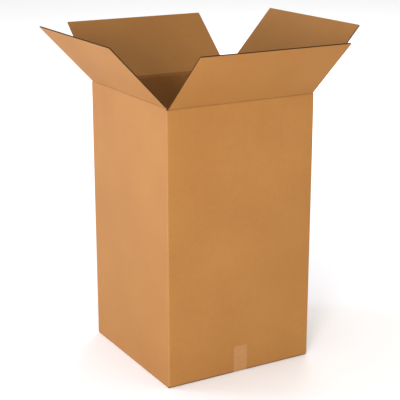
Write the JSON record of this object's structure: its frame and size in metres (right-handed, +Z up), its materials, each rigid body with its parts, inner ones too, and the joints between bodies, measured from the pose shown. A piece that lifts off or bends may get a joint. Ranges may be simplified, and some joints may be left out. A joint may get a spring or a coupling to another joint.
{
  "type": "open cardboard box",
  "caption": "Tall square slotted box of corrugated board, its bottom taped shut and its four top flaps folded outwards on their creases.",
  "frame": {"origin": "centre of the box's base, on the lowest face of the tape that seals it", "axes": "+Z up through the open mouth, -Y out of the front wall that shows the end of the tape, -X out of the left wall"},
  "size_m": [0.8638, 0.8957, 1.0754],
  "materials": {
    "kraft_board": "matte",
    "packing_tape": "satin"
  },
  "bodies": {
    "box": {"box_body": "kraft_board", "sealing_tape": "packing_tape"},
    "front_flap": {"top_flap_front": "kraft_board"},
    "back_flap": {"top_flap_back": "kraft_board"},
    "left_flap": {"top_flap_left": "kraft_board"},
    "right_flap": {"top_flap_right": "kraft_board"}
  },
  "joints": [
    {"name": "front_crease", "type": "hinge", "parent": "box", "child": "front_flap", "pos_m": [0, -0.2581, 0.87645], "axis": [1, 0, 0], "range_deg": [-136.3, 128.7]},
    {"name": "back_crease", "type": "hinge", "parent": "box", "child": "back_flap", "pos_m": [0, 0.2581, 0.87645], "axis": [-1, 0, 0], "range_deg": [-138.9, 126.1]},
    {"name": "left_crease", "type": "hinge", "parent": "box", "child": "left_flap", "pos_m": [-0.2581, 0, 0.8807], "axis": [0, -1, 0], "range_deg": [-133.4, 131.6]},
    {"name": "right_crease", "type": "hinge", "parent": "box", "child": "right_flap", "pos_m": [0.2581, 0, 0.8807], "axis": [0, 1, 0], "range_deg": [-131.7, 133.3]}
  ]
}
